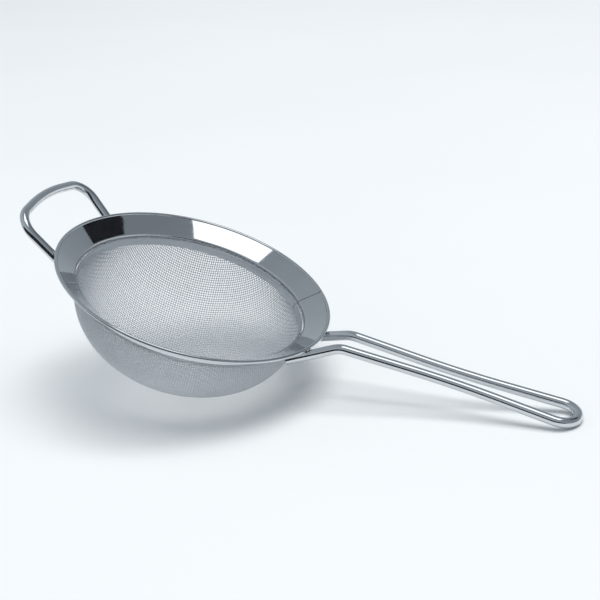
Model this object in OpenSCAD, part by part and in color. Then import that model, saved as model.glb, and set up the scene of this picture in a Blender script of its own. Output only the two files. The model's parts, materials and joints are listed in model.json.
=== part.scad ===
// Fine-mesh tea strainer: a flared sheet rim, a woven bowl clamped in its collar, a hairpin
// wire handle and a wire rest loop, both welded under the flare.
// The model stands as it lies on a table: on the bottom of the bowl and the tip of the handle.

/* [Rim] */
// Diameter over the rolled lip
rim_d = 100; // [92:1:120]
// Inside diameter of the collar
collar_d = 83; // [69:0.5:86]
// Drop from the lip to the bend where the flare meets the collar
flare_h = 5.1; // [4:0.1:8]
// Height of the collar below the bend
collar_h = 1; // [0.8:0.1:4]
// Thickness of the sheet strip
sheet_t = 0.8; // [0.6:0.05:1]
// Inside radius of the bend
bend_r = 0.4; // [0.2:0.1:1]
// Diameter of the rolled lip
lip_d = 1.3; // [1.1:0.1:2]
// Direction of the butt seam, measured from the handle
seam_angle = 41; // [30:1:120]
// Width of the butt seam
seam_w = 0.5; // [0.3:0.05:0.8]
// How far the seam's weld lies below the sheet's faces
seam_recess = 0.12; // [0.05:0.01:0.2]

/* [Mesh bowl] */
// Thickness of the wire cloth
mesh_t = 0.56; // [0.4:0.02:0.8]
// Depth of the dished part of the bowl
dish_depth = 32; // [24:1:39]
// How much deeper the dish is than the radius of the arc at its side
dish_heel = 5; // [3:0.5:10]
// How far the dish starts below the bend
dish_drop = 1.2; // [0.8:0.1:2.2]
// Thickness of the retaining ring
ring_t = 0.5; // [0.4:0.05:0.8]
// Height of the retaining ring
ring_h = 2.8; // [2:0.1:4]
// Width of the split in the retaining ring
ring_split = 0.4; // [0.2:0.1:1]
// Assembly gap between the cloth and the metal on each side
cloth_gap = 0.02; // [0.01:0.01:0.05]

/* [Handle] */
// Diameter of the handle wire
handle_wire_d = 3.5; // [2.8:0.1:4.5]
// Length of the handle beyond the edge of the rim
handle_len = 91.8; // [70:0.2:130]
// Distance from the edge of the rim to the bend of the handle
handle_bend_out = 8.4; // [7:0.2:14]
// Half of the spacing between the wires at the bend
handle_bend_y = 5.9; // [4.5:0.1:9]
// Half of the spacing between the wires at the waist
handle_waist_y = 4.6; // [3:0.1:4.8]
// Radius of the turn at the tip, to the middle of the wire
handle_tip_r = 6.2; // [5:0.1:9]
// Half of the spacing between the wire ends under the flare
handle_root_y = 10.5; // [8:0.5:14]
// How far the wire ends lie below where they would touch the flare
handle_root_drop = 1; // [0.1:0.1:1.4]
// Angle at which the straight part rises above the plane of the rim
handle_rise = 7; // [3:0.5:12]
// Radius of the bend outside the rim
handle_bend_r = 9; // [6:0.5:10]

/* [Rest loop] */
// Diameter of the loop wire
loop_wire_d = 3.4; // [2.8:0.1:4.5]
// Length of the loop beyond the edge of the rim
loop_len = 16; // [13:1:30]
// Half of the spacing between the loop's corners
loop_corner_y = 22.5; // [18:0.5:26]
// Half of the spacing between the wire ends under the flare
loop_root_y = 19; // [14:0.5:24]
// How far the middle of the crossbar stands out beyond its corners
loop_bow = 3.4; // [1:0.2:5]
// Radius of the corners
loop_corner_r = 8; // [5:0.5:9]
// How far the wire ends lie below where they would touch the flare
loop_root_drop = 0.1; // [0.1:0.1:1.4]

/* [Welds] */
// Radius of a weld nugget
weld_r = 1.5; // [1.2:0.1:2]
// Gap between the wires and the sheet that the welds close
weld_gap = 0.08; // [0.05:0.01:0.2]

/* [Hidden] */
$fn = 64;

// Where the second weld of a leg sits, from its end (0) to its bend (1)
weld_at = 0.2;
// Straight steps that stand for the arcs of the sections
bend_steps = 6;
lip_steps = 12;
dish_steps = 16;
// Gentle bends: at the waist of the handle's legs and in the middle of the loop's crossbar
waist_bend_r = 240;
waist_lift = 0.7;
bar_bend_r = 60;
// Straight stretch in the middle of the handle's tip
tip_flat = 1.2;
// Sleeves that join the straight stretches of a wire to its elbows: how far they stand proud
// of the wire, and how far they reach to each side of the joint
sleeve_t = 0.02;
sleeve_reach = 0.2;
// How far the cloth's edge stays below the bend
cloth_edge_drop = 0.3;
// Facets of the surfaces that trim the small welds
fine_fn = 240;

// Strip section: the bend's centre, the lip's centre and the slope of the flare between them
collar_r = collar_d / 2;
bend_c = [collar_r + sheet_t + bend_r, -flare_h];
lip_c = [(rim_d - lip_d) / 2, 0];
bend_to_lip = lip_c - bend_c;
bend_mid_r = bend_r + sheet_t / 2;
flare_len = sqrt(norm(bend_to_lip) ^ 2 - bend_mid_r ^ 2);
flare_slope = atan2(bend_to_lip.y, bend_to_lip.x) - atan2(bend_mid_r, flare_len);
seam_span = 360 * seam_w / (PI * rim_d);

// Bowl: a side arc and a bottom arc that meet smoothly
dish_r = collar_r - cloth_gap;
dish_side_r = dish_depth - dish_heel;
dish_z = -flare_h - dish_drop;
bottom_r = ((dish_r - dish_side_r) ^ 2 + dish_depth ^ 2 - dish_side_r ^ 2) / (2 * (dish_depth - dish_side_r));
bottom_z = dish_z - dish_depth + bottom_r;
arc_split = atan2(dish_r - dish_side_r, bottom_z - dish_z);
cloth_top = -flare_h - cloth_edge_drop;

// Retaining ring: its lower edge clears the cloth, which already curves in there
ring_bottom = cloth_top - ring_h;
ring_r = dish_r - dish_side_r + sqrt((dish_side_r - mesh_t) ^ 2 - max(0, dish_z - ring_bottom) ^ 2)
    - cloth_gap - ring_t;

// Wires
handle_r = handle_wire_d / 2;
loop_r = loop_wire_d / 2;

// Where a straight leg in plan, from a towards b, crosses the circle of the lip
function lip_crossing(a, b) =
    let (d = b - a, h = (a * d) / (d * d))
    a + d * (sqrt(h ^ 2 - (a * a - lip_c.x ^ 2) / (d * d)) - h);

// Slope of a wire's axis that starts at height z over a, heads for b in plan, and passes just
// below the lip; each step comes closer to it
function slope_under_lip(a, b, z, wire_r, slope = 0, steps = 8) =
    let (p = lip_crossing(a, b), d = (b - a) / (b - a).x, out = d * p / norm(p))
    let (lip_z = -(lip_d / 2 + wire_r + weld_gap) * norm([out, slope]) / out)
    steps == 0 ? slope
               : slope_under_lip(a, b, z, wire_r, (lip_z - z) / (p.x - a.x), steps - 1);

// A wire's end in plan: beside the collar, at a given distance from the middle plane
function root_r(wire_r) = collar_r + sheet_t + wire_r + weld_gap;
function wire_root(wire_r, y) = [sqrt(root_r(wire_r) ^ 2 - y ^ 2), y];

// Height of a wire's axis where the wire touches both the collar and the flare
function nested_z(wire_r) =
    bend_c.y + (bend_r - wire_r - weld_gap) / cos(flare_slope)
    + (root_r(wire_r) - bend_c.x) * tan(flare_slope);

// Handle: legs rise out from under the flare, bend, run straight and turn at the tip
handle_root = wire_root(handle_r, handle_root_y);
handle_root_z = nested_z(handle_r) - handle_root_drop;
handle_bend = [rim_d / 2 + handle_bend_out, handle_bend_y];
handle_tip_x = rim_d / 2 + handle_len - handle_r;
handle_waist_x = (handle_bend.x + handle_tip_x) / 2;
leg_slope = slope_under_lip(handle_root, handle_bend, handle_root_z, handle_r);
handle_bend_z = handle_root_z + (handle_bend.x - handle_root.x) * leg_slope;
function grip_z(x) = handle_bend_z + (x - handle_bend.x) * tan(handle_rise);

// Where the corners of the tip lie for its radius; the legs spread a little on their way to them
function tip_corner(y) =
    let (spread = atan((y - handle_waist_y + waist_lift) / (handle_tip_x - handle_waist_x)))
    tip_flat / 2 + handle_tip_r * tan(45 + spread / 2);
tip_corner_y = tip_corner(tip_corner(tip_corner(handle_tip_r)));
handle_half = [
    [handle_root.x, handle_root.y, handle_root_z],
    [handle_bend.x, handle_bend.y, handle_bend_z],
    [handle_waist_x, handle_waist_y - waist_lift, grip_z(handle_waist_x)],
    [handle_tip_x, tip_corner_y, grip_z(handle_tip_x)]
];

// Rest loop: legs run straight out along the flare to two corners and a bowed crossbar
loop_root = wire_root(loop_r, loop_root_y);
loop_root_z = nested_z(loop_r) - loop_root_drop;
loop_bar_x = rim_d / 2 + loop_len - loop_r;
loop_corner = [loop_bar_x - loop_bow, loop_corner_y];
loop_slope = slope_under_lip(loop_root, loop_corner, loop_root_z, loop_r);
function loop_z(x) = loop_root_z + (x - loop_root.x) * loop_slope;
loop_half = [
    [-loop_root.x, loop_root.y, loop_root_z],
    [-loop_corner.x, loop_corner.y, loop_z(loop_corner.x)],
    [-loop_bar_x, 0, loop_z(loop_bar_x)]
];

// Resting pose: the plane that touches the bottom arc of the bowl and the tip of the handle
tip_from_centre = [handle_tip_x, grip_z(handle_tip_x) - bottom_z];
rest_tilt = atan2(tip_from_centre.y, tip_from_centre.x)
    + asin((bottom_r - handle_r - sleeve_t) / norm(tip_from_centre));
rest_height = bottom_r - bottom_z * cos(rest_tilt);
function rested_x(x, z) = x * cos(rest_tilt) + z * sin(rest_tilt);
front_x = rested_x(handle_tip_x, grip_z(handle_tip_x)) + handle_r;
back_x = rested_x(-loop_bar_x, loop_z(loop_bar_x)) - loop_r;

function reversed(p) = [for (i = [len(p) - 1 : -1 : 0]) p[i]];
function across(p) = [for (q = p) [q.x, -q.y, q.z]];

// A half path and its mirror image, end to end; a point in the middle plane isn't doubled
function both_sides(p) = concat(p, reversed(across([for (q = p) if (q.y > 0) q])));

module resting() {
    translate([-(front_x + back_x) / 2, 0, rest_height])
        rotate([0, rest_tilt, 0])
            children();
}

// Straight stretch of wire from a to b
module rod(a, b, r) {
    d = b - a;
    translate(a)
        rotate([0, acos(d.z / norm(d)), atan2(d.y, d.x)])
            cylinder(h = norm(d), r = r);
}

function unit(v) = v / norm(v);
function turn_at(p, i) = acos(unit(p[i] - p[i - 1]) * unit(p[i + 1] - p[i]));
function trim_at(p, radii, i) =
    i == 0 || i == len(p) - 1 ? 0 : radii[i] * tan(turn_at(p, i) / 2);

// Elbow of the wire at corner i of a path
module elbow(p, radii, i, r) {
    u = unit(p[i] - p[i - 1]);
    w = unit(p[i + 1] - p[i]);
    turn = turn_at(p, i);
    centre = p[i] + unit(w - u) * radii[i] / cos(turn / 2);
    x = unit(p[i] - u * trim_at(p, radii, i) - centre);
    z = unit(cross(u, w));
    multmatrix([[x.x, u.x, z.x, centre.x], [x.y, u.y, z.y, centre.y], [x.z, u.z, z.z, centre.z]])
        rotate_extrude(angle = turn)
            translate([radii[i], 0])
                circle(r = r);
}

// Wire bent along the points of a path, with a bend radius at each inner point;
// a thin sleeve joins each straight stretch to its elbow
module bent_wire(p, radii, r) {
    for (i = [1 : len(p) - 1]) {
        u = unit(p[i] - p[i - 1]);
        a = p[i - 1] + u * trim_at(p, radii, i - 1);
        b = p[i] - u * trim_at(p, radii, i);
        rod(a + u * (i > 1 ? sleeve_t : 0), b - u * (i < len(p) - 1 ? sleeve_t : 0), r);
        for (joint = [if (i > 1) a, if (i < len(p) - 1) b])
            rod(joint - u * sleeve_reach, joint + u * sleeve_reach, r + sleeve_t);
    }
    for (i = [1 : len(p) - 2])
        elbow(p, radii, i, r);
}

// Points of an arc about c, from angle a to angle b
function arc(c, r, a, b, steps) =
    [for (i = [0 : steps]) c + r * [cos(a + (b - a) * i / steps), sin(a + (b - a) * i / steps)]];

// Section of the formed strip; inset thins it evenly on every face
module strip_section(inset = 0) {
    bottom = bend_c - [0, collar_h - inset];
    inner = bend_r + inset;
    outer = bend_r + sheet_t - inset;
    lip_r = lip_d / 2 - inset;
    neck = asin((outer - inner) / 2 / lip_r);
    polygon(concat(
        [bottom - [outer, 0]], arc(bend_c, outer, 180, 90 + flare_slope, bend_steps),
        arc(lip_c, lip_r, flare_slope + 180 - neck, flare_slope - 180 + neck, lip_steps),
        arc(bend_c, inner, 90 + flare_slope, 180, bend_steps), [bottom - [inner, 0]]
    ));
}

module rim_band() {
    color("lightsteelblue")
        resting()
            rotate(seam_angle + seam_span / 2)
                rotate_extrude(angle = 360 - seam_span)
                    strip_section();
}

module rim_seam_weld() {
    color("slategray")
        resting()
            rotate(seam_angle - seam_span / 2)
                rotate_extrude(angle = seam_span)
                    strip_section(seam_recess);
}

// One face of the dished cloth: straight in the collar, then the side arc and the bottom arc
function cloth_face(inset) = concat(
    [[dish_r - inset, cloth_top]],
    arc([dish_r - dish_side_r, dish_z], dish_side_r - inset, 0, arc_split - 90, dish_steps),
    arc([0, bottom_z], bottom_r - inset, arc_split - 90, -90, dish_steps)
);

module mesh_bowl() {
    color("gainsboro")
        resting()
            rotate_extrude()
                polygon(concat(cloth_face(0), reversed(cloth_face(mesh_t))));
}

module mesh_retaining_ring() {
    split_span = 360 * ring_split / (2 * PI * ring_r);
    color("silver")
        resting()
            rotate(seam_angle + split_span / 2)
                rotate_extrude(angle = 360 - split_span)
                    translate([ring_r, ring_bottom])
                        square([ring_t, ring_h]);
}

module handle() {
    color("lightgray")
        resting()
            bent_wire(both_sides(handle_half),
                      [0, handle_bend_r, waist_bend_r, handle_tip_r,
                       handle_tip_r, waist_bend_r, handle_bend_r, 0], handle_r);
}

module rest_loop() {
    color("lightgray")
        resting()
            bent_wire(both_sides(loop_half),
                      [0, loop_corner_r, bar_bend_r, loop_corner_r, 0], loop_r);
}

// Everything above the underside of the flare, and everything inside the collar
module rim_envelope() {
    cylinder(h = 4 * flare_h, r = collar_r + sheet_t, center = true);
    rotate_extrude()
        translate(bend_c)
            rotate(flare_slope)
                translate([-collar_r / 2, bend_r])
                    square([rim_d, flare_h]);
}

// Nuggets of one leg, from its end a towards its bend b: one at the collar and one under the
// flare, each a ball that is cut off where the wire and the sheet are
module leg_welds(a, b, wire_r) {
    inner = a - [unit([a.x, a.y]).x, unit([a.x, a.y]).y, 0] * wire_r;
    outer = a + (b - a) * weld_at + [0, 0, wire_r];
    for (centre = [inner, outer])
        difference() {
            translate(centre) rotate([0, 90, 0]) sphere(r = weld_r);
            rod(a, b, wire_r, $fn = fine_fn);
            rim_envelope($fn = fine_fn);
        }
}

module handle_welds() {
    color("darkgray")
        resting()
            for (half = [handle_half, across(handle_half)])
                leg_welds(half[0], half[1], handle_r);
}

module rest_loop_welds() {
    color("darkgray")
        resting()
            for (half = [loop_half, across(loop_half)])
                leg_welds(half[0], half[1], loop_r);
}

rim_band();
rim_seam_weld();
mesh_bowl();
mesh_retaining_ring();
handle();
rest_loop();
handle_welds();
rest_loop_welds();
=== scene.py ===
"""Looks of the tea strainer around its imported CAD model.

Lengths are in millimetres, in the strainer's own frame: origin at the centre of the rim's lip,
+Z up out of the bowl, +X towards the handle. TO_ROW puts them in the row frame, in metres.
"""

import json
import math

import bpy
import numpy as np
from mathutils import Matrix, Vector


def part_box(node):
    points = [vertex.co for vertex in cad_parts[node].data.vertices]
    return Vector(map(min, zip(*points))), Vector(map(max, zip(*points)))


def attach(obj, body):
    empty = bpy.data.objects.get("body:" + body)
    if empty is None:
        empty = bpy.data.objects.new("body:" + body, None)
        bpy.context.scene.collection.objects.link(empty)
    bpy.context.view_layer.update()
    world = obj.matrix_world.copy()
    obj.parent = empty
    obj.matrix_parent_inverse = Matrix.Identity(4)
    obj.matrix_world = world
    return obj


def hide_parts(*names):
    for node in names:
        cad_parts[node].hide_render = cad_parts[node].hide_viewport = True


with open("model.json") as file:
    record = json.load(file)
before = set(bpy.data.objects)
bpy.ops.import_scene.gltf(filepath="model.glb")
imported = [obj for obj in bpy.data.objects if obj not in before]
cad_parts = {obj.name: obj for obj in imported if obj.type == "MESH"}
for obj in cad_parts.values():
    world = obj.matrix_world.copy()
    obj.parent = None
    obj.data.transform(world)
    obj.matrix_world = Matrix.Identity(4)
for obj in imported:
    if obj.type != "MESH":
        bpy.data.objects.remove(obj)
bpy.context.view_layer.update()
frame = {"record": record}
MM = 0.001

# Rim: a formed strip with a flare, a rolled lip and a short collar
FLARE_H = 5.1
COLLAR_H = 1.0
SHEET_T = 0.8
BEND_R = 0.4
LIP_D = 1.3
SEAM_ANGLE = 41.0
SEAM_W = 0.5
SEAM_RECESS = 0.12

# Bowl of woven wire, and the split ring that clamps its edge
DISH_DEPTH = 32.0
DISH_HEEL = 5.0
DISH_DROP = 1.2
CLOTH_EDGE_DROP = 0.3
CLOTH_GAP = 0.02
CLOTH_WIRE_D = 0.28
CLOTH_PITCH = 0.9
CLOTH_TURN = 20.0       # degrees from the handle to the weave
CLOTH_SHEAR = 0.6       # how far pressing shears the cells
CROWN_FLAT = 0.17       # half of the flat at each crossing, in pitches
CLOTH_DRIFT = 0.025     # how unevenly the wires lie, in pitches
CLOTH_SEED = 7
FEWEST_POINTS = 4       # a wire with fewer isn't made
RING_T = 0.5
RING_H = 2.8
RING_SPLIT = 0.4

# Handle and rest loop: corners of half of each wire, its bend radii and its size
WIRE_GAP = 0.08
HANDLE_WIRE_D = 3.5
HANDLE_LEN = 91.8
HANDLE_BEND = (8.4, 5.9)
HANDLE_WAIST_Y = 3.9
HANDLE_TIP_R = 6.2
HANDLE_TIP_FLAT = 1.2
HANDLE_ROOT_Y = 10.5
HANDLE_ROOT_DROP = 1.0
HANDLE_RISE = 7.0
HANDLE_RADII = (9.0, 240.0, HANDLE_TIP_R)
LOOP_WIRE_D = 3.4
LOOP_LEN = 16.0
LOOP_CORNER_Y = 22.5
LOOP_ROOT_Y = 19.0
LOOP_ROOT_DROP = 0.1
LOOP_BOW = 3.4
LOOP_RADII = (8.0, 60.0)
WIRE_SIDES = 40
WIRE_CHAMFER = 0.25
PATH_STEP = 0.7

# Weld nuggets: where they lie, and their half sizes along, across and up from the wire
FOOT_WELD_IN = 0.6
FOOT_WELD = (1.5, 1.0, 1.0)
WELD_AT = 0.2
LEG_WELD = (1.4, 1.2, 0.9)

# The throat's mount gives the strainer's place and tilt, and the rim's box gives its size
throat = next(m for m in frame["record"]["mounts"] if m["name"] == "throat")
AXIS = Vector(throat["axis"])
RIM_CENTRE = Vector(throat["pos_m"]) + AXIS * (FLARE_H + CLOTH_EDGE_DROP + RING_H / 2) * MM
TILT = math.atan2(AXIS.x, AXIS.z)
TO_ROW = Matrix.Translation(RIM_CENTRE) @ Matrix.Rotation(TILT, 4, "Y") @ Matrix.Scale(MM, 4)
RIM_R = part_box("rim_band")[1].y / MM
THROAT_R = throat["dims"]["r_mm"]

# Values that follow
RING_BOTTOM = -FLARE_H - CLOTH_EDGE_DROP - RING_H
DISH_Z = -FLARE_H - DISH_DROP
DISH_SIDE_R = DISH_DEPTH - DISH_HEEL
CLOTH_T = 2 * CLOTH_WIRE_D
RING_DEPTH_IN_DISH = max(0.0, DISH_Z - RING_BOTTOM)
DISH_R = (
    THROAT_R + RING_T + CLOTH_GAP + DISH_SIDE_R
    - math.sqrt((DISH_SIDE_R - CLOTH_T) ** 2 - RING_DEPTH_IN_DISH ** 2)
)
COLLAR_R = DISH_R + CLOTH_GAP


# ---------------------------------------------------------------- geometry helpers

FEWEST_ARC_STEPS = 6
ACROSS = (0.3, 0.2, 1.0)    # a direction that no wire starts in


def unit(v):
    return v / np.linalg.norm(v)


def arc(centre, radius, start, end, steps):
    """Points of an arc about centre, from angle start to angle end in degrees."""
    angles = np.radians(np.linspace(start, end, steps + 1))
    return [(centre[0] + radius * math.cos(a), centre[1] + radius * math.sin(a)) for a in angles]


def make_piece(name, points, faces, node, material, smooth_angle=35):
    """A piece of the strainer from points in its own frame, which stands for a CAD node."""
    mesh = bpy.data.meshes.new(name)
    mesh.from_pydata([tuple(p) for p in points], [], faces)
    mesh.transform(TO_ROW)
    mesh.validate()
    mesh.shade_smooth()
    mesh.set_sharp_from_angle(angle=math.radians(smooth_angle))
    piece = bpy.data.objects.new(name, mesh)
    bpy.context.scene.collection.objects.link(piece)
    mesh.materials.append(material)
    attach(piece, "root")
    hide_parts(node)
    return piece


def lathe(section, start, span, steps):
    """Points and faces of a closed section turned through span degrees about Z, with its ends closed."""
    n = len(section)
    angles = np.radians(start + np.linspace(0, span, steps + 1))
    points = [(r * math.cos(a), r * math.sin(a), z) for a in angles for r, z in section]
    faces = [
        (i * n + j, (i + 1) * n + j, (i + 1) * n + (j + 1) % n, i * n + (j + 1) % n)
        for i in range(steps)
        for j in range(n)
    ]
    faces.append(tuple(range(n)))
    faces.append(tuple(steps * n + j for j in reversed(range(n))))
    return points, faces


def bent_path(corners, radii, step):
    """Points along straight stretches that are joined by arcs.

    They lie about one step apart on an arc, and about two on a straight stretch.
    """
    corners = [np.array(c, float) for c in corners]
    points = [corners[0]]
    for before, corner, after, radius in zip(corners, corners[1:], corners[2:], radii):
        u, w = unit(corner - before), unit(after - corner)
        turn = math.acos(float(np.clip(u @ w, -1, 1)))
        centre = corner + unit(w - u) * radius / math.cos(turn / 2)
        start = corner - u * radius * math.tan(turn / 2) - centre
        side = u * radius
        steps = max(FEWEST_ARC_STEPS, math.ceil(radius * turn / step))
        straight = centre + start - points[-1]
        count = max(1, math.ceil(np.linalg.norm(straight) / (2 * step)))
        points += [points[-1] + straight * k / count for k in range(1, count)]
        points += [
            centre + start * math.cos(turn * k / steps) + side * math.sin(turn * k / steps)
            for k in range(steps + 1)
        ]
    straight = corners[-1] - points[-1]
    count = max(1, math.ceil(np.linalg.norm(straight) / (2 * step)))
    points += [points[-1] + straight * k / count for k in range(1, count + 1)]
    return np.array(points)


def tube(path, radius, sides, chamfer):
    """Points and faces of a round wire along a path, with chamfered cut ends."""
    tangents = np.gradient(path, axis=0)
    tangents /= np.linalg.norm(tangents, axis=1)[:, None]
    normal = unit(np.cross(tangents[0], ACROSS))
    angles = np.arange(sides) * 2 * math.pi / sides
    stations = [(path[0], 0, radius - chamfer), (path[0] + tangents[0] * chamfer, 0, radius)]
    stations += [(p, i, radius) for i, p in enumerate(path[1:-1], 1)]
    last = len(path) - 1
    stations.append((path[-1] - tangents[-1] * chamfer, last, radius))
    stations.append((path[-1], last, radius - chamfer))
    points = []
    for centre, i, r in stations:
        normal = unit(normal - tangents[i] * (normal @ tangents[i]))
        other = np.cross(tangents[i], normal)
        points += [centre + r * (math.cos(a) * normal + math.sin(a) * other) for a in angles]
    faces = [
        (i * sides + j, i * sides + (j + 1) % sides,
         (i + 1) * sides + (j + 1) % sides, (i + 1) * sides + j)
        for i in range(len(stations) - 1)
        for j in range(sides)
    ]
    faces.append(tuple(reversed(range(sides))))
    faces.append(tuple((len(stations) - 1) * sides + j for j in range(sides)))
    return points, faces


# ---------------------------------------------------------------- materials

CLOUD_SCALE = 90.0
CLOUD_SHADE = 0.94


def material(name):
    """An empty node material with its Principled shader."""
    m = bpy.data.materials.new(name)
    m.use_nodes = True
    return m, m.node_tree, m.node_tree.nodes["Principled BSDF"]


def add(tree, kind, inputs=None, **settings):
    """A node with its settings and its inputs, where an input is a value or another node's socket."""
    node = tree.nodes.new(kind)
    for key, value in settings.items():
        setattr(node, key, value)
    for key, value in (inputs or {}).items():
        if isinstance(value, bpy.types.NodeSocket):
            tree.links.new(value, node.inputs[key])
        else:
            node.inputs[key].default_value = value
    return node


def ramp(tree, source, low, high, start=0.3, end=0.7):
    """A value or colour that goes from low to high as source goes from start to end."""
    if not isinstance(low, tuple):
        low, high = (low,) * 3, (high,) * 3
    node = add(tree, "ShaderNodeValToRGB", {"Fac": source})
    for element, position, colour in zip(node.color_ramp.elements, (start, end), (low, high)):
        element.position = position
        element.color = (*colour, 1)
    return node.outputs["Color"]


def steel(name, colour, roughness, wave, wave_size, line, line_stretch, metallic=1.0):
    """Steel whose colour and gloss vary a little, with a slow waviness and fine lines in its surface.

    wave, wave_size and line are in mm, and line_stretch is how often the lines vary in a metre
    along each axis.
    """
    m, tree, shader = material(name)
    shader.inputs["Metallic"].default_value = metallic
    place = add(tree, "ShaderNodeTexCoord").outputs["Object"]
    cloud = add(tree, "ShaderNodeTexNoise", {"Vector": place, "Scale": CLOUD_SCALE, "Detail": 3.0})
    tint = ramp(tree, cloud.outputs["Fac"], tuple(c * CLOUD_SHADE for c in colour), colour)
    tree.links.new(tint, shader.inputs["Base Color"])
    spread = add(tree, "ShaderNodeMapping", {"Vector": place, "Scale": line_stretch})
    stretched = spread.outputs["Vector"]
    lines = add(tree, "ShaderNodeTexNoise", {"Vector": stretched, "Scale": 1.0, "Detail": 4.0})
    gloss = ramp(tree, lines.outputs["Fac"], *roughness)
    tree.links.new(gloss, shader.inputs["Roughness"])
    wave_scale = 1 / (wave_size * MM)
    slow = add(tree, "ShaderNodeTexNoise", {"Vector": place, "Scale": wave_scale, "Detail": 1.0})
    swell = add(tree, "ShaderNodeBump", {"Height": slow.outputs["Fac"], "Distance": wave * MM})
    fine = add(
        tree, "ShaderNodeBump",
        {"Height": lines.outputs["Fac"], "Distance": line * MM, "Normal": swell.outputs["Normal"]},
    )
    tree.links.new(fine.outputs["Normal"], shader.inputs["Normal"])
    return m


RIM_STEEL = steel(
    "rim_steel", (0.64, 0.66, 0.68), roughness=(0.03, 0.07),
    wave=0.12, wave_size=22, line=0.001, line_stretch=(300, 300, 2500),
)
RING_STEEL = steel(
    "ring_steel", (0.66, 0.69, 0.72), roughness=(0.30, 0.38),
    wave=0.02, wave_size=12, line=0.002, line_stretch=(200, 200, 3000),
)
WIRE_STEEL = steel(
    "wire_steel", (0.66, 0.68, 0.70), roughness=(0.05, 0.12),
    wave=0.02, wave_size=6, line=0.002, line_stretch=(60, 2500, 2500),
)
# Partly metallic and rough, to stand for glints that are finer than a pixel
CLOTH_STEEL = steel(
    "cloth_steel", (0.64, 0.66, 0.69), roughness=(0.40, 0.52),
    wave=0.002, wave_size=3, line=0.0006, line_stretch=(900, 900, 900), metallic=0.35,
)
WELD_STEEL = steel(
    "weld_steel", (0.42, 0.41, 0.42), roughness=(0.30, 0.50),
    wave=0.10, wave_size=1.2, line=0.010, line_stretch=(2500, 2500, 2500),
)


# ---------------------------------------------------------------- rim

RIM_STEPS = 720
SEAM_STEPS = 4
FOOT_STEPS = 5
OUTER_BEND_STEPS = 12
INNER_BEND_STEPS = 8
LIP_STEPS = 28
RING_STEPS = 480
RING_EDGE_STEPS = 4


def strip_section(inset=0.0):
    """Section of the formed strip as (radius, height) points, thinned by inset on every face."""
    bend = (COLLAR_R + SHEET_T + BEND_R, -FLARE_H)
    lip = (RIM_R - LIP_D / 2, 0.0)
    across, up = lip[0] - bend[0], lip[1] - bend[1]
    middle = BEND_R + SHEET_T / 2
    length = math.sqrt(across ** 2 + up ** 2 - middle ** 2)
    slope = math.degrees(math.atan2(up, across) - math.atan2(middle, length))
    inner, outer, lip_r = BEND_R + inset, BEND_R + SHEET_T - inset, LIP_D / 2 - inset
    neck = math.degrees(math.asin((outer - inner) / 2 / lip_r))
    soft = (outer - inner) / 4
    bottom = bend[1] - COLLAR_H + inset
    foot = arc((bend[0] - inner - soft, bottom + soft), soft, 0, -90, FOOT_STEPS)
    foot += arc((bend[0] - outer + soft, bottom + soft), soft, 270, 180, FOOT_STEPS)
    return (
        foot
        + arc(bend, outer, 180, 90 + slope, OUTER_BEND_STEPS)
        + arc(lip, lip_r, slope + 180 - neck, slope - 180 + neck, LIP_STEPS)
        + arc(bend, inner, 90 + slope, 180, INNER_BEND_STEPS)
    )


def make_rim():
    span = math.degrees(SEAM_W / RIM_R)
    points, faces = lathe(strip_section(), SEAM_ANGLE + span / 2, 360 - span, RIM_STEPS)
    make_piece("rim_flare", points, faces, "rim_band", RIM_STEEL)
    points, faces = lathe(strip_section(SEAM_RECESS), SEAM_ANGLE - span / 2, span, SEAM_STEPS)
    make_piece("rim_butt_seam", points, faces, "rim_seam_weld", WELD_STEEL)


def make_ring():
    soft = RING_T / 3
    low, high = RING_BOTTOM + soft, RING_BOTTOM + RING_H - soft
    inner, outer = THROAT_R + soft, THROAT_R + RING_T - soft
    section = (
        arc((outer, low), soft, 0, -90, RING_EDGE_STEPS)
        + arc((inner, low), soft, 270, 180, RING_EDGE_STEPS)
        + arc((inner, high), soft, 180, 90, RING_EDGE_STEPS)
        + arc((outer, high), soft, 90, 0, RING_EDGE_STEPS)
    )
    span = math.degrees(RING_SPLIT / THROAT_R)
    points, faces = lathe(section, SEAM_ANGLE + span / 2, 360 - span, RING_STEPS)
    make_piece("clamp_ring", points, faces, "mesh_retaining_ring", RING_STEEL)


# ---------------------------------------------------------------- woven bowl

def dish_profile():
    """The cloth's middle surface, as a function that gives its radius, height and slope angle by the
    length from the bottom, and that length at the cloth's edge."""
    inset = CLOTH_T / 2
    side_x, top_z = DISH_R - DISH_SIDE_R, DISH_Z
    bottom_r = (side_x ** 2 + DISH_DEPTH ** 2 - DISH_SIDE_R ** 2) / (2 * (DISH_DEPTH - DISH_SIDE_R))
    bottom_z = top_z - DISH_DEPTH + bottom_r
    split = math.atan2(side_x, bottom_z - top_z)
    side, bottom = DISH_SIDE_R - inset, bottom_r - inset
    first = bottom * split
    second = first + side * (math.pi / 2 - split)
    edge = second + DISH_DROP - CLOTH_EDGE_DROP

    def at(s):
        turn = np.where(s < first, s / bottom, np.minimum(split + (s - first) / side, math.pi / 2))
        r = np.where(s < first, bottom * np.sin(turn), side_x + side * np.sin(turn))
        z = np.where(s < first, bottom_z - bottom * np.cos(turn), top_z - side * np.cos(turn))
        return r, z + np.maximum(0, s - second), turn

    return at, edge


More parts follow.
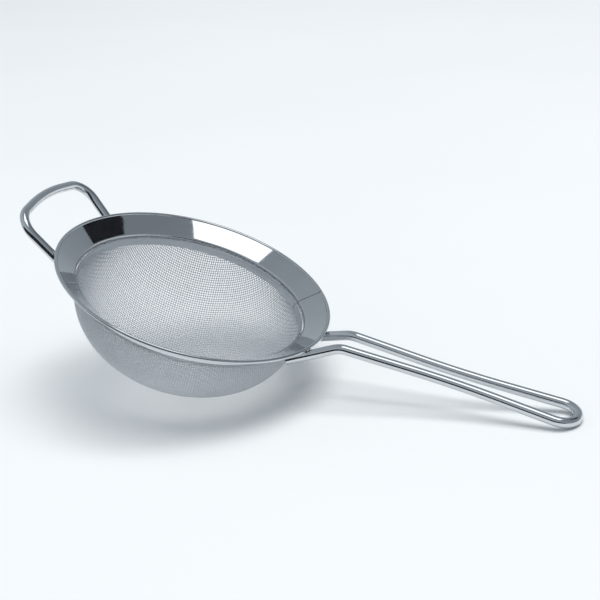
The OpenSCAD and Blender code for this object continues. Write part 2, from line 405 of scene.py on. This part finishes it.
def cloth_points(u, v, at):
    """Place on the dish of the flat cloth's point (u, v), its outward normal, and its length from
    the bottom. Pressing shears the cells along the diagonals of the weave."""
    rho = np.maximum(np.hypot(u, v), 1e-9)
    psi = np.arctan2(v, u)
    gather = rho / np.maximum(at(rho)[0], 1e-9) - 1
    theta = psi + CLOTH_SHEAR * gather * np.sin(4 * psi) / 4 + math.radians(CLOTH_TURN)
    s = rho * (1 + CLOTH_SHEAR * gather * np.sin(2 * psi) ** 2 / 2)
    r, z, turn = at(s)
    point = np.stack([r * np.cos(theta), r * np.sin(theta), z], -1)
    normal = np.stack([np.sin(turn) * np.cos(theta), np.sin(turn) * np.sin(theta), -np.cos(turn)], -1)
    return point, normal, s


def cloth_wire(points, normals, start, sides=6):
    """Points and faces of one wire of the cloth; start is the number of points before it."""
    tangents = np.gradient(points, axis=0)
    tangents /= np.linalg.norm(tangents, axis=1)[:, None]
    side = np.cross(tangents, normals)
    side /= np.linalg.norm(side, axis=1)[:, None]
    out = np.cross(side, tangents)
    a = np.arange(sides) * 2 * math.pi / sides
    ring = np.cos(a)[None, :, None] * side[:, None] + np.sin(a)[None, :, None] * out[:, None]
    shell = (points[:, None] + ring * CLOTH_WIRE_D / 2).reshape(-1, 3)
    faces = [
        (start + i * sides + j, start + i * sides + (j + 1) % sides,
         start + (i + 1) * sides + (j + 1) % sides, start + (i + 1) * sides + j)
        for i in range(len(points) - 1)
        for j in range(sides)
    ]
    faces.append(tuple(start + j for j in reversed(range(sides))))
    faces.append(tuple(start + (len(points) - 1) * sides + j for j in range(sides)))
    return shell, faces


def make_cloth():
    """Both sets of wires of the plain weave, each in two pieces."""
    at, edge = dish_profile()
    count = int(edge / CLOTH_PITCH)
    rng = np.random.default_rng(CLOTH_SEED)
    drift = {way: rng.normal(0, CLOTH_DRIFT, 2 * count + 1) for way in ("warp", "weft")}
    index = np.arange(-count, count + 1)
    crown = np.repeat(index, 2)
    step_off = np.tile((-CROWN_FLAT, CROWN_FLAT), len(index))
    for way in ("warp", "weft"):
        for part, rows in (("a", range(-count, 0)), ("b", range(0, count + 1))):
            shells, faces, start = [], [], 0
            for row in rows:
                across = (row + drift[way][row + count]) * CLOTH_PITCH
                other = "weft" if way == "warp" else "warp"
                along = (crown + step_off + np.repeat(drift[other], 2)) * CLOTH_PITCH
                u, v = np.full(len(along), across), along
                if way == "weft":
                    u, v = v, u
                point, normal, s = cloth_points(u, v, at)
                inside = s <= edge
                if inside.sum() < FEWEST_POINTS:
                    continue
                over = np.where((crown + row) % 2 == 0, 1.0, -1.0) * (1 if way == "warp" else -1)
                point = point + normal * (over * CLOTH_WIRE_D / 2)[:, None]
                shell, wire_faces = cloth_wire(point[inside], normal[inside], start)
                shells.append(shell)
                faces += wire_faces
                start += len(shell)
            make_piece(
                f"cloth_{way}_{part}", np.concatenate(shells), faces,
                "mesh_bowl", CLOTH_STEEL, smooth_angle=75,
            )


# ---------------------------------------------------------------- wires and welds

SLOPE_ROUNDS = 8
TIP_ROUNDS = 3
LUMPS = 9
LUMP_HEIGHT = (0.03, 0.10)
LUMP_SHARPNESS = 6
NUGGET_RINGS = 14
NUGGET_SIDES = 24


def wire_start(wire_r, y, drop):
    """Where a wire's cut end lies: beside the collar, and drop below where it would touch the flare."""
    radial = COLLAR_R + SHEET_T + wire_r + WIRE_GAP
    bend = (COLLAR_R + SHEET_T + BEND_R, -FLARE_H)
    slope = flare_slope()
    z = bend[1] + (BEND_R - wire_r - WIRE_GAP) / math.cos(slope) + (radial - bend[0]) * math.tan(slope)
    return np.array([math.sqrt(radial ** 2 - y ** 2), y, z - drop])


def flare_slope():
    across = RIM_R - LIP_D / 2 - (COLLAR_R + SHEET_T + BEND_R)
    middle = BEND_R + SHEET_T / 2
    length = math.sqrt(across ** 2 + FLARE_H ** 2 - middle ** 2)
    return math.atan2(FLARE_H, across) - math.atan2(middle, length)


def rise_under_lip(root, corner, wire_r):
    """Slope at which a straight leg from root towards corner in plan passes just below the lip."""
    a, d = root[:2], np.array(corner) - root[:2]
    d = d / d[0]
    lip_r = RIM_R - LIP_D / 2
    h = (a @ d) / (d @ d)
    run = math.sqrt(h ** 2 - (a @ a - lip_r ** 2) / (d @ d)) - h
    crossing = a + d * run
    out = d @ unit(crossing)
    slope = 0.0
    for _ in range(SLOPE_ROUNDS):
        z = -(LIP_D / 2 + wire_r + WIRE_GAP) * math.hypot(out, slope) / out
        slope = (z - root[2]) / run
    return slope


def both_sides(half):
    """A half path and its mirror image, end to end; a point in the middle plane isn't doubled."""
    mirror = [p * (1, -1, 1) for p in half if p[1] > 0]
    return list(half) + mirror[::-1]


def handle_half():
    wire_r = HANDLE_WIRE_D / 2
    root = wire_start(wire_r, HANDLE_ROOT_Y, HANDLE_ROOT_DROP)
    bend = np.array([RIM_R + HANDLE_BEND[0], HANDLE_BEND[1]])
    bend_z = root[2] + (bend[0] - root[0]) * rise_under_lip(root, bend, wire_r)
    tip_x = RIM_R + HANDLE_LEN - wire_r
    waist_x = (bend[0] + tip_x) / 2
    tip_y = HANDLE_TIP_R
    for _ in range(TIP_ROUNDS):
        spread = math.atan((tip_y - HANDLE_WAIST_Y) / (tip_x - waist_x))
        tip_y = HANDLE_TIP_FLAT / 2 + HANDLE_TIP_R * math.tan(math.pi / 4 + spread / 2)
    grip = math.tan(math.radians(HANDLE_RISE))
    return [
        root,
        np.array([bend[0], bend[1], bend_z]),
        np.array([waist_x, HANDLE_WAIST_Y, bend_z + (waist_x - bend[0]) * grip]),
        np.array([tip_x, tip_y, bend_z + (tip_x - bend[0]) * grip]),
    ]


def loop_half():
    wire_r = LOOP_WIRE_D / 2
    root = wire_start(wire_r, LOOP_ROOT_Y, LOOP_ROOT_DROP)
    bar_x = RIM_R + LOOP_LEN - wire_r
    corner = np.array([bar_x - LOOP_BOW, LOOP_CORNER_Y])
    rise = rise_under_lip(root, corner, wire_r)
    half = [
        root,
        np.array([corner[0], corner[1], root[2] + (corner[0] - root[0]) * rise]),
        np.array([bar_x, 0, root[2] + (bar_x - root[0]) * rise]),
    ]
    return [p * (-1, 1, 1) for p in half]


def make_wires():
    path = bent_path(both_sides(handle_half()), HANDLE_RADII + HANDLE_RADII[::-1], PATH_STEP)
    points, faces = tube(path, HANDLE_WIRE_D / 2, WIRE_SIDES, WIRE_CHAMFER)
    make_piece("handle_wire", points, faces, "handle", WIRE_STEEL)
    path = bent_path(both_sides(loop_half()), LOOP_RADII + LOOP_RADII[:1], PATH_STEP)
    points, faces = tube(path, LOOP_WIRE_D / 2, WIRE_SIDES, WIRE_CHAMFER)
    make_piece("loop_wire", points, faces, "rest_loop", WIRE_STEEL)


def nugget(centre, along, sizes, seed):
    """Points and faces of a lumpy weld nugget, longer along the wire."""
    rng = np.random.default_rng(seed)
    lumps = [(unit(rng.normal(size=3)), rng.uniform(*LUMP_HEIGHT)) for _ in range(LUMPS)]
    side = unit(np.cross(along, (0, 0, 1)))
    up = np.cross(side, along)
    rings, sides = NUGGET_RINGS, NUGGET_SIDES
    points, faces = [], []
    for i in range(rings + 1):
        for j in range(sides):
            a, b = math.pi * i / rings, 2 * math.pi * j / sides
            d = np.array([math.cos(a), math.sin(a) * math.cos(b), math.sin(a) * math.sin(b)])
            swell = 1 + sum(h * max(0.0, d @ q) ** LUMP_SHARPNESS for q, h in lumps)
            x, y, z = d * sizes * swell
            points.append(centre + x * along + y * side + z * up)
    for i in range(rings):
        for j in range(sides):
            k = (j + 1) % sides
            faces.append((i * sides + j, i * sides + k, (i + 1) * sides + k, (i + 1) * sides + j))
    return points, faces


def make_welds():
    jobs = (("handle", handle_half(), HANDLE_WIRE_D / 2), ("loop", loop_half(), LOOP_WIRE_D / 2))
    for name, half, wire_r in jobs:
        points, faces = [], []
        for side in (1, -1):
            root, bend = (p * (1, side, 1) for p in half[:2])
            along = unit(bend - root)
            radial = unit(np.array([root[0], root[1], 0.0]))
            spots = (
                (root - radial * wire_r + along * FOOT_WELD_IN, FOOT_WELD),
                (root + (bend - root) * WELD_AT + np.array([0, 0, wire_r]), LEG_WELD),
            )
            for spot, sizes in spots:
                more, more_faces = nugget(spot, along, np.array(sizes), len(points) + 1)
                faces += [tuple(k + len(points) for k in f) for f in more_faces]
                points += more
        node = {"handle": "handle_welds", "loop": "rest_loop_welds"}[name]
        make_piece(
            f"{name}_weld_nuggets", points, faces, node, WELD_STEEL, smooth_angle=80,
        )


# ---------------------------------------------------------------- studio

CAMERA_AZIMUTH = -23.17
CAMERA_ELEVATION = 21.07
CAMERA_ROLL = -4.17
CAMERA_LENS = 84.0
RIM_FROM_CAMERA = Vector((-37.3, -6.1, 495.9)) * MM
FLOOR_SIZE = 12
DARKEST = (0.61, 0.28, 0.74)
SKY_PALE = (0.46, 0.515, 0.55)
SKY_DARK = (0.235, 0.265, 0.29)

# Lights and reflection cards, in metres and degrees
LIGHT_DISTANCE = 3.0
KEY_HEADING = (90, 78.5)
KEY_SIZE = (1.9, 1.66)
KEY_RADIANCE = 1.5
FILL_HEADING = (90, 80)
FILL_SIZE = (2.4, 2.4)
FILL_RADIANCE = 3.4
BACK_CARD_HEADING = (40, 33)
BACK_CARD_DISTANCE = 1.0
BACK_CARD_SIZE = (0.33, 0.30)
FRONT_NEAR = -0.11
FRONT_FAR = -1.3
FRONT_HALF_WIDTH = 2.0
FRONT_WALL_TOP = 0.55
FRONT_LIFT = MM


def make_camera():
    """The camera sees the rim's centre at RIM_FROM_CAMERA: right, down and ahead."""
    a, e, roll = (math.radians(x) for x in (CAMERA_AZIMUTH, CAMERA_ELEVATION, CAMERA_ROLL))
    ahead = Vector((math.sin(a) * math.cos(e), math.cos(a) * math.cos(e), -math.sin(e)))
    level = Vector((math.cos(a), -math.sin(a), 0))
    plumb = ahead.cross(level)
    right = level * math.cos(roll) - plumb * math.sin(roll)
    down = level * math.sin(roll) + plumb * math.cos(roll)
    data = bpy.data.cameras.new("camera")
    data.lens = CAMERA_LENS
    data.clip_start, data.clip_end = 0.01, 50
    camera = bpy.data.objects.new("camera", data)
    x, y, z = RIM_FROM_CAMERA
    place = RIM_CENTRE - right * x - down * y - ahead * z
    turn = Matrix((right, -down, -ahead)).transposed().to_4x4()
    camera.matrix_world = Matrix.Translation(place) @ turn
    bpy.context.scene.collection.objects.link(camera)
    bpy.context.scene.camera = camera


def heading(azimuth, elevation):
    """The direction at an azimuth, from +Y towards +X, and an elevation above the horizon."""
    a, e = math.radians(azimuth), math.radians(elevation)
    return Vector((math.sin(a) * math.cos(e), math.cos(a) * math.cos(e), math.sin(e)))


def facing_rim(thing, direction, distance):
    """Puts a card or a light at a distance in a direction, with its face to the rim."""
    thing.location = RIM_CENTRE + direction * distance
    thing.rotation_mode = "QUATERNION"
    thing.rotation_quaternion = direction.to_track_quat("Z", "Y")
    bpy.context.scene.collection.objects.link(thing)


def sheet_object(name, corners, mat):
    """A flat part of the studio."""
    mesh = bpy.data.meshes.new(name)
    mesh.from_pydata(corners, [], [tuple(range(len(corners)))])
    mesh.materials.append(mat)
    sheet = bpy.data.objects.new(name, mesh)
    return sheet


def softbox(name, direction, distance, size, radiance, glossy=True):
    """A soft light that faces the rim; one that isn't glossy is hidden from reflections."""
    data = bpy.data.lights.new(name, "AREA")
    data.shape = "RECTANGLE"
    data.size, data.size_y = size
    data.energy = radiance * math.pi * size[0] * size[1]
    light = bpy.data.objects.new(name, data)
    light.visible_camera = False
    light.visible_glossy = glossy
    facing_rim(light, direction, distance)


def rectangle(width, height):
    w, h = width / 2, height / 2
    return [(-w, -h, 0), (w, -h, 0), (w, h, 0), (-w, h, 0)]


def reflection_card(name, corners, direction=None, distance=0.0):
    """A black card that shows only in the reflections in polished steel."""
    mat, _, shader = material(name)
    shader.inputs["Base Color"].default_value = (0.012, 0.012, 0.015, 1)
    shader.inputs["Roughness"].default_value = 0.9
    card = sheet_object(name, corners, mat)
    card.visible_camera = card.visible_diffuse = card.visible_shadow = False
    if direction:
        facing_rim(card, direction, distance)
    else:
        bpy.context.scene.collection.objects.link(card)


def make_floor():
    mat, tree, shader = material("pale_floor")
    place = add(tree, "ShaderNodeTexCoord").outputs["Object"]
    grain = add(tree, "ShaderNodeTexNoise", {"Vector": place, "Scale": 4.0, "Detail": 2.0})
    tint = ramp(tree, grain.outputs["Fac"], (0.87, 0.88, 0.885), (0.90, 0.905, 0.91))
    tree.links.new(tint, shader.inputs["Base Color"])
    shader.inputs["Roughness"].default_value = 0.9
    shader.inputs["Specular IOR Level"].default_value = 0.1
    floor = sheet_object("floor", rectangle(FLOOR_SIZE, FLOOR_SIZE), mat)
    bpy.context.scene.collection.objects.link(floor)


def make_world():
    """A grey surround that is darkest in one direction, high up at the back right."""
    world = bpy.data.worlds.new("studio")
    bpy.context.scene.world = world
    world.use_nodes = True
    tree = world.node_tree
    direction = add(tree, "ShaderNodeTexCoord").outputs["Generated"]
    towards = add(tree, "ShaderNodeVectorMath", {0: direction, 1: DARKEST}, operation="DOT_PRODUCT")
    sky = ramp(tree, towards.outputs["Value"], SKY_PALE, SKY_DARK, 0.0, 1.0)
    tree.links.new(sky, tree.nodes["Background"].inputs["Color"])


def make_studio():
    bpy.context.scene.view_settings.view_transform = "Standard"
    make_floor()
    make_world()
    softbox("key_softbox", heading(*KEY_HEADING), LIGHT_DISTANCE, KEY_SIZE, KEY_RADIANCE)
    softbox(
        "fill_softbox", heading(*FILL_HEADING), LIGHT_DISTANCE, FILL_SIZE, FILL_RADIANCE, glossy=False,
    )
    back_card = rectangle(*BACK_CARD_SIZE)
    reflection_card("dark_card", back_card, heading(*BACK_CARD_HEADING), BACK_CARD_DISTANCE)
    near, far, half, top = FRONT_NEAR, FRONT_FAR, FRONT_HALF_WIDTH, FRONT_WALL_TOP
    low = FRONT_LIFT
    floor_part = [(-half, near, low), (half, near, low), (half, far, low), (-half, far, low)]
    reflection_card("dark_front", floor_part)
    wall_part = [(-half, far, low), (half, far, low), (half, far, top), (-half, far, top)]
    reflection_card("dark_front_wall", wall_part)


make_camera()
make_studio()
make_rim()
make_ring()
make_cloth()
make_wires()
make_welds()
